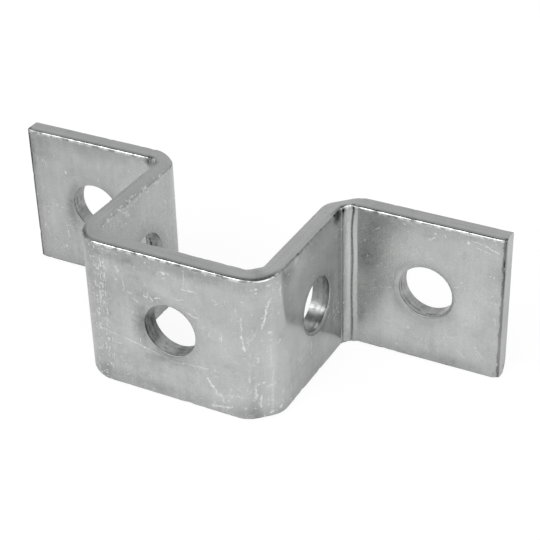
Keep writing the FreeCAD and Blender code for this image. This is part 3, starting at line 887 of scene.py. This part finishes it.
# %% Bands and lines down a hole's wall
def hole_wall(bar, low, high):
    """How light the wall is, and its share of the height."""
    wobble = (bar.cloud(3.5, shift=43) - 0.5) * 1.4
    faint = bar.cloud(2.2, shift=45).step(0.4, 0.62)
    bands = ((bar.deep + wobble).near(0.5, 0.05, 0.34, 0.7)
             | (bar.deep + wobble * 0.8).near(1.75, 0.06, 0.45) * faint
             | (bar.deep + wobble * 1.2).near(3.3, 0.05, 0.5, 0.6) * faint)
    lines = bar.vector(bar.along, bar.across, bar.deep * 0.12)
    slid = bar.cloud(0.55, lines, detail=3, roughness=0.65, shift=47)
    blotch = bar.cloud(2.6, detail=3, roughness=0.6, shift=49)
    light = 0.5 - bands * 0.26 + (slid - 0.5) * 0.3 + (blotch - 0.5) * 0.5
    # Painted light and shade on one side of some walls.
    light = light + all_of(PAINTED_WALL_LIGHT_AND_SHADE, painted_patch, bar, "ADD", low, high)
    # Painted shade on the wall of the right leg's hole, near its outer face, on the side towards the
    # flange.
    past_leg_hole = (bar.along - LEG_HOLE).step(1, 4) * bar.along.step(60, 56)
    light = light - bar.deep.step(2.2, 0.9, 0.2) * past_leg_hole
    return light, (slid * 1.2 - bands) * bar.wall


# %% [markdown]
# ## Edges, tool lines and the metal between them
#
# The long edges are rubbed smoother than the faces, and chipped here and there. Along them the
# colour carries a painted highlight, a painted dark reflection and painted shade, and the narrow
# faces carry painted light. The press left dark lines beside the flange bends, partly painted
# shade, and the hollow of each bend carries a painted highlight.

# %% The layers of the finish
def uneven_plate(bar):
    """Patches, mottle, grain and streaks in the plating, each from -0.5 to 0.5."""
    across_lines = bar.vector(bar.along * 0.75, bar.across * 0.05, bar.deep)
    along_lines = bar.vector(bar.along * 0.05, bar.across * 2.2, bar.deep * 2.6)
    patches = bar.cloud(11, shift=1) - 0.5
    mottle = bar.cloud(1.6, detail=3, roughness=0.6, shift=2) - 0.5
    grain = bar.cloud(0.3, roughness=0.6, shift=5) - 0.5
    runs = bar.cloud(1, across_lines, detail=3, roughness=0.6, shift=7) - 0.5
    rolled = bar.cloud(1, along_lines, detail=3, roughness=0.6, shift=9) - 0.5
    return patches, mottle, grain, runs + (rolled - runs) * bar.narrow


def worn_and_painted_edges(bar, on_leg, mottle):
    """The chipped edges, and how much lighter each edge is, mostly by painted light and shade."""
    # Chipped places along the edges; at the far left end the edges are darker and rougher all along.
    chips_and_dark_end = bar.cloud(1.1, shift=55).step(0.53, 0.64) | bar.along.step(-84, -98)
    inner_left = bar.along.near(-LEG_MIDDLE, 15, 20) * bar.deep.step(3, 4.4)
    chips_and_dark_end = bar.edge * chips_and_dark_end * (1 - inner_left * 0.6)
    # Painted highlight: a band just below the top front edges of the web and flanges is lighter, broken
    # by noise into darker gaps, and not painted at the start of the left flange.
    painted_highlight = bar.across.step(18.95, 19.35) * bar.front * (1 - bar.narrow) * (1 - on_leg)
    painted_highlight = painted_highlight * (bar.cloud(2.4, shift=63).step(0.4, 0.58, 1.6) - 0.45)
    painted_highlight = painted_highlight * abs(bar.along + 66).step(1.8, 3.2)
    # Painted dark reflection: the narrow faces are darker just behind the top front edges, most at the
    # web's right bend, and less on the legs.
    painted_dark_reflection = bar.narrow * bar.deep.step(1.5, 0.7) * bar.across.step(0, 1) * (1 - on_leg * 0.8)
    painted_dark_reflection = painted_dark_reflection * (bar.along.near(21.5, 3, 7, 0.14) + 0.15)
    # Painted shade: the wide faces darken towards their long edges, more on the front.
    painted_edge_shade = bar.height.step(14.5, 19.4) * bar.face * (1 - bar.narrow) * (1 - bar.edge)
    # A darker line along the front edge of each sheared end.
    end_line = (bar.far + mottle * 1.4).step(BAR_END - 0.85, BAR_END - 0.4)
    end_line = end_line * bar.front * (1 - bar.cut_end)
    # Painted light: the narrow faces are lighter, more so right of the web's middle and most on the
    # right leg.
    painted_light_narrow = bar.along.step(-18, 4, 0.035) + bar.along.near(LEG_MIDDLE, 16, 24, 0.04) + 0.03
    # Painted shade on the rounded edges: darker on the bottom edges, and more on the legs' outer edges.
    painted_shade_on_edges = bar.across.step(2, -2, 0.16) + on_leg * 0.15
    light = (bar.narrow * painted_light_narrow - bar.edge * painted_shade_on_edges - painted_edge_shade * (bar.front * 0.045 + 0.03)
             + painted_highlight * 0.22 - painted_dark_reflection - chips_and_dark_end * 0.22 - end_line * 0.27)
    return chips_and_dark_end, light


def press_lines_and_painted_highlight(bar):
    """Dark press lines, partly painted shade, and a painted highlight in the flange bends' hollows."""
    lean = ((bar.across - LEAN_FROM) / LEAN_OVER).clamp() ** 2 * 0.8
    lines = ((bar.far - lean - LEG_END).near(6.1, 0.25, 0.75)
             | (bar.far - lean * 0.5 - LEG_END).near(1.7, 0.2, 0.8, 0.6))
    # The hollow's lighter band is a painted highlight; the dark lines are press marks with painted
    # shade.
    return (bar.far - LEG_END).near(4.2, 1.6, 2.6, 0.04) - lines * 0.2


def painted_shade_round_holes(bar):
    """A ring of painted shade round each hole, over the face the punch dragged."""
    folded = bar.vector(bar.far, bar.across, 0)
    web, leg, flange = (bar.on_vectors("DISTANCE", folded, (hole, 0, 0))
                        for hole in (0, LEG_HOLE, FLANGE_HOLE))
    return web.math("MINIMUM", leg).math("MINIMUM", flange).step(10.5, 7.3) * bar.face


# %% [markdown]
# ## Put the layers together
#
# Grey, roughness and height each get their share of every layer. Pale marks are lighter, rougher
# and less metallic, because loose zinc dust scatters light. A shader has room for only so many
# marks listed one by one, so five parts of the bar have a material each. It has all the layers, but
# only the marks that reach its part, and no seam shows.

# %% The finish of one part of the bar
def empty_tree(owner):
    """The node tree of a material or a world, with no nodes in it."""
    owner.use_nodes = True
    owner.node_tree.nodes.clear()
    return owner.node_tree


def use_shader(tree, kind, shader):
    """Give a tree its output."""
    tree.links.new(shader.socket, tree.nodes.new("ShaderNode" + kind).inputs["Surface"])


def zinc_plate(name, low, high):
    """A zinc material for the bar between two places along it."""
    material = bpy.data.materials.new(name)
    bar = Bar(empty_tree(material))
    patches, mottle, grain, streaks = uneven_plate(bar)
    bar.uneven = mottle * 0.45
    on_leg = bar.far.near(LEG_MIDDLE, 13, 19) * bar.front
    dirt = bar.cloud(3.2, detail=3, roughness=0.65, shift=51).step(0.5, 0.8)
    chips_and_dark_end, edge_wear_and_painted_light = worn_and_painted_edges(bar, on_leg, mottle)
    # Painted light and shade on the front face, and the flange bends' press lines with their painted
    # highlight.
    on_front = all_of(PAINTED_LIGHT_AND_SHADE, painted_patch, bar, "ADD", low, high) + press_lines_and_painted_highlight(bar)
    pale = pale_marks(bar, low, high)
    wall_light, wall_height = hole_wall(bar, low, high)

    # The grey takes the plate's random patches, mottle, streaks and dirt, the painted shade round the
    # holes, and the edges' wear with its painted light and shade.
    light = (patches * 0.17 + mottle * 0.09 + streaks * (bar.narrow * 0.12 + 0.09) + grain * 0.025
             - dirt * 0.06 - painted_shade_round_holes(bar) * 0.08 + edge_wear_and_painted_light + on_front * bar.front + 0.532)
    light = light + (wall_light - light) * bar.wall
    light = light + (0.86 - light) * pale * 0.86
    rough = (patches * 0.1 + mottle * 0.14 - on_leg * 0.07 - bar.edge * 0.16 + pale * 0.25
             + chips_and_dark_end * 0.24 + bar.wall * 0.06 + bar.cut_end * 0.08 + 0.27)
    height = mottle * 0.28 + grain * 0.06 + streaks * 0.15 + wall_height
    bump = Wire.node(bar.tree, "Bump", {"Strength": 0.4, "Distance": 0.00004, "Height": height})
    colour = Wire.node(bar.tree, "CombineColor", {0: light * 0.984, 1: light, 2: light * 0.991})
    shader = Wire.node(bar.tree, "BsdfPrincipled", {
        "Base Color": colour, "Metallic": 1 - pale * 0.55, "Roughness": rough.clamp(), "Normal": bump})
    use_shader(bar.tree, "OutputMaterial", shader)
    print(name, "has", len(bar.tree.nodes), "nodes")
    return material


# %% Five materials, one for each part of the bar
PARTS = [-BAR_END, -LEG_MIDDLE, -8, 10, LEG_MIDDLE, BAR_END]
for number, (low, high) in enumerate(zip(PARTS, PARTS[1:]), 1):
    mesh.materials.append(zinc_plate(f"zinc_plate_{number}", low, high))
for face in mesh.polygons:
    face.material_index = int(np.searchsorted(PARTS[1:-1], places[list(face.vertices), 0].mean()))

# %% [markdown]
# ## Floor, light and camera
#
# The object lies on white paper that glows a little, so it looks white while less light falls on
# the metal. What the metal reflects is a duller paper, with painted shade on its left.

# %% The floor
FLOOR_REACH = 3
corners = [(x * FLOOR_REACH, y * FLOOR_REACH, 0) for x, y in ((-1, -1), (1, -1), (1, 1), (-1, 1))]
floor_mesh = bpy.data.meshes.new("floor")
floor_mesh.from_pydata(corners, [], [(0, 1, 2, 3)])
floor = new_object("floor", floor_mesh)
floor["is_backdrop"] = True

# %% Its paper
paper = bpy.data.materials.new("white_paper")
paper_tree = empty_tree(paper)


def mix(tree, factor, first, second):
    """The first shader where the factor is 0, and the second where it is 1."""
    return Wire.node(tree, "MixShader", {0: factor, 1: first, 2: second})


def glowing_paper(colour, glow):
    """Matt paper that gives off some light of its own."""
    matt = Wire.node(paper_tree, "BsdfDiffuse", {"Color": colour})
    shine = Wire.node(paper_tree, "Emission", {"Color": (1, 1, 1, 1), "Strength": glow})
    return Wire.node(paper_tree, "AddShader", {0: matt, 1: shine})


position = Wire.node(paper_tree, "TexCoord", output="Object")
paper_x = Wire.node(paper_tree, "SeparateXYZ", {0: position}, output=0)
# Painted shade on the paper that the metal reflects: darker on the left.
lit_side = paper_x.step(-0.095, -0.05) * 0.2 + 0.8
reflected_grey = Wire.node(paper_tree, "CombineColor", dict.fromkeys(range(3), lit_side * 0.8))
lights_things = Wire.node(paper_tree, "BsdfDiffuse", {"Color": (0.86, 0.86, 0.86, 1)})
rays = Wire.node(paper_tree, "LightPath", output="Is Glossy Ray")
seen_in_metal = mix(paper_tree, rays, lights_things, glowing_paper(reflected_grey, lit_side * 0.22))
rays = Wire.node(paper_tree, "LightPath", output="Is Camera Ray")
use_shader(paper_tree, "OutputMaterial",
           mix(paper_tree, rays, seen_in_metal, glowing_paper((0.14, 0.14, 0.14, 1), 0.9)))
floor_mesh.materials.append(paper)

# %% Two softboxes in front
AIM_AT = Vector((0, 0, 0.02))


def softbox(name, direction, distance, width, height, radiance):
    """A rectangular lamp that faces the object. Radiance is how bright its surface looks."""
    lamp = bpy.data.lights.new(name, "AREA")
    lamp.shape, lamp.size, lamp.size_y = "RECTANGLE", width, height
    lamp.energy = radiance * math.pi * width * height
    holder = new_object(name, lamp)
    aim = Vector(direction).normalized()
    holder.location = aim * distance + AIM_AT
    holder.rotation_euler = aim.to_track_quat("Z", "Y").to_euler()
    holder.visible_camera = False


softbox("key_softbox", (-0.42, -0.66, 0.6), 0.9, 1, 0.44, 2.8)
softbox("fill_softbox", (0.75, -0.45, 0.48), 0.95, 1.7, 1.2, 0.84)

# %% The room round them: pale walls, and two dark patches of ceiling (direction, how dark)
WALLS = 0.6
DARK_PATCHES = [((-0.42, 0.02, 0.91), 0.93), ((0.02, 0.16, 0.99), 0.7)]
world = bpy.data.worlds.new("room")
bpy.context.scene.world = world
room_tree = empty_tree(world)
direction = Wire.node(room_tree, "TexCoord", output="Generated")
walls = WALLS
for towards, dark in DARK_PATCHES:
    facing = Wire.node(room_tree, "VectorMath", {0: direction, 1: tuple(Vector(towards).normalized())},
                       output="Value", operation="DOT_PRODUCT")
    walls = (1 - facing.step(0.9, 0.945, dark)) * walls
room, white = (Wire.node(room_tree, "Background", {"Color": (1, 1, 1, 1), "Strength": strength})
               for strength in (walls, 1))
rays = Wire.node(room_tree, "LightPath", output="Is Camera Ray")
use_shader(room_tree, "OutputWorld", mix(room_tree, rays, room, white))

# %% The camera, where the photograph was taken from
camera_data = bpy.data.cameras.new("camera")
camera_data.lens, camera_data.sensor_width = 102.94, 36
camera_data.clip_start, camera_data.clip_end = 0.01, 20
camera = new_object("camera", camera_data)
camera.location = (0.16662, -0.27711, 0.22697)
camera.rotation_euler = (1.00941, 0.02542, 0.48453)
bpy.context.scene.camera = camera
bpy.context.scene.view_settings.view_transform = "Standard"

low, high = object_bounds()
print("visual box, mm:", [round(1000 * (b - a), 2) for a, b in zip(low, high)])
